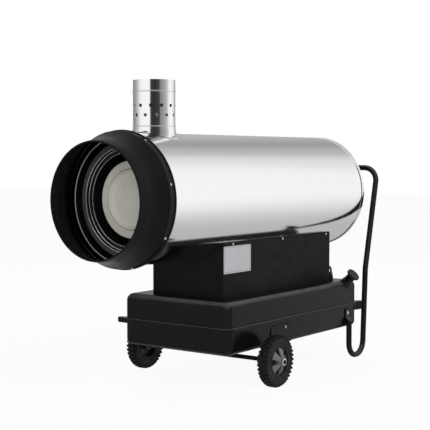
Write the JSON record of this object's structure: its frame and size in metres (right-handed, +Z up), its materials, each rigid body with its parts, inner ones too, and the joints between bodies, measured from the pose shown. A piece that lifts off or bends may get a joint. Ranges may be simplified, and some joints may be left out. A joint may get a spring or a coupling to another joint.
{
  "type": "diesel forced air heater",
  "caption": "Wheeled diesel forced air heater: mirror steel drum with a black outlet cone and flue, on a black cabinet and fuel tank with a tube handle.",
  "frame": {"origin": "on the ground, centred between the ends and sides of the overall box", "axes": "-Y is the way the warm air leaves, +Y the handle end, +Z up, +X the side with the filler"},
  "size_m": [0.729, 1.5914, 1.155],
  "materials": {
    "polished_steel": "mirror polished stainless",
    "heat_steel": "dull, heat tinted",
    "satin_black": "satin powder coat",
    "gloss_black": "gloss paint",
    "zinc": "bright zinc plate",
    "bright_steel": "turned",
    "silver_plate": "matt",
    "motor_grey": "semi-gloss paint",
    "pump_metal": "as cast",
    "brass": "plain",
    "black_plastic": "fine grain",
    "hub_grey": "smooth",
    "white_plastic": "smooth",
    "lamp_amber": "clear tinted",
    "tyre_black": "treaded rubber",
    "hose_black": "smooth rubber"
  },
  "bodies": {
    "heater": {"outlet_cone": "satin_black", "drum_shell": "polished_steel", "drum_liner": "polished_steel", "exchanger_jacket": "polished_steel", "combustion_chamber": "heat_steel", "chamber_front_plate": "heat_steel", "crossover_ducts": "heat_steel", "spacer_brackets": "heat_steel", "flue_stub": "heat_steel", "chimney": "polished_steel", "chimney_saddle": "polished_steel", "rear_rim": "polished_steel", "intake_guard": "satin_black", "fan_motor": "motor_grey", "motor_bracket": "satin_black", "fuel_pump": "pump_metal", "burner_tube": "heat_steel", "flame_diffuser": "heat_steel", "nozzle_line": "brass", "electrodes": "bright_steel", "cabinet_tray": "satin_black", "drum_cradles": "satin_black", "side_panel_right": "satin_black", "side_panel_left": "satin_black", "rating_plate": "silver_plate", "control_plate": "black_plastic", "indicator_lamp": "lamp_amber", "cable_gland": "black_plastic", "ignition_transformer": "black_plastic", "control_unit": "white_plastic", "tank_upper": "gloss_black", "tank_lower": "gloss_black", "drain_plug": "zinc", "filler_neck": "gloss_black", "filler_strainer": "bright_steel", "pickup_tube": "bright_steel", "outlet_fitting": "black_plastic", "hose_fittings": "zinc", "fuel_hose": "hose_black", "fuel_filter": "white_plastic", "fuel_lines": "bright_steel", "handle_frame": "gloss_black", "handle_bolts": "zinc", "axle": "satin_black", "axle_brackets": "gloss_black", "sheet_screws": "zinc", "axle_hardware": "zinc", "line_grommet": "hose_black"},
    "wheel_right": {"tyre_right": "tyre_black", "wheel_rim_right": "black_plastic", "wheel_star_right": "hub_grey"},
    "wheel_left": {"tyre_left": "tyre_black", "wheel_rim_left": "black_plastic", "wheel_star_left": "hub_grey"},
    "rotor": {"fan_impeller": "pump_metal", "drive_shaft": "bright_steel"},
    "cap": {"filler_cap": "black_plastic"},
    "switch": {"power_switch": "black_plastic"},
    "knob": {"thermostat_knob": "black_plastic"},
    "button": {"reset_button": "black_plastic"}
  },
  "joints": [
    {"name": "wheel_right_spin", "type": "hinge", "parent": "heater", "child": "wheel_right", "pos_m": [0.3215, -0.13575, 0.1], "axis": [1, 0, 0], "continuous": true},
    {"name": "wheel_left_spin", "type": "hinge", "parent": "heater", "child": "wheel_left", "pos_m": [-0.3215, -0.13575, 0.1], "axis": [1, 0, 0], "continuous": true},
    {"name": "fan_spin", "type": "hinge", "parent": "heater", "child": "rotor", "pos_m": [0, 0.58425, 0.7205], "axis": [0, 1, 0], "continuous": true},
    {"name": "cap_lift", "type": "slide", "parent": "heater", "child": "cap", "axis": [0.7071, 0, 0.7071], "range_m": [0, 0.03]},
    {"name": "switch_rock", "type": "hinge", "parent": "heater", "child": "switch", "pos_m": [-0.1734, 0.26425, 0.44], "axis": [0, 1, 0], "range_deg": [-10, 0]},
    {"name": "knob_turn", "type": "hinge", "parent": "heater", "child": "knob", "pos_m": [-0.1734, 0.34025, 0.44], "axis": [1, 0, 0], "range_deg": [0, 270]},
    {"name": "button_press", "type": "slide", "parent": "heater", "child": "button", "axis": [1, 0, 0], "range_m": [0, 0.003], "stiffness_N_per_m": 300}
  ]
}
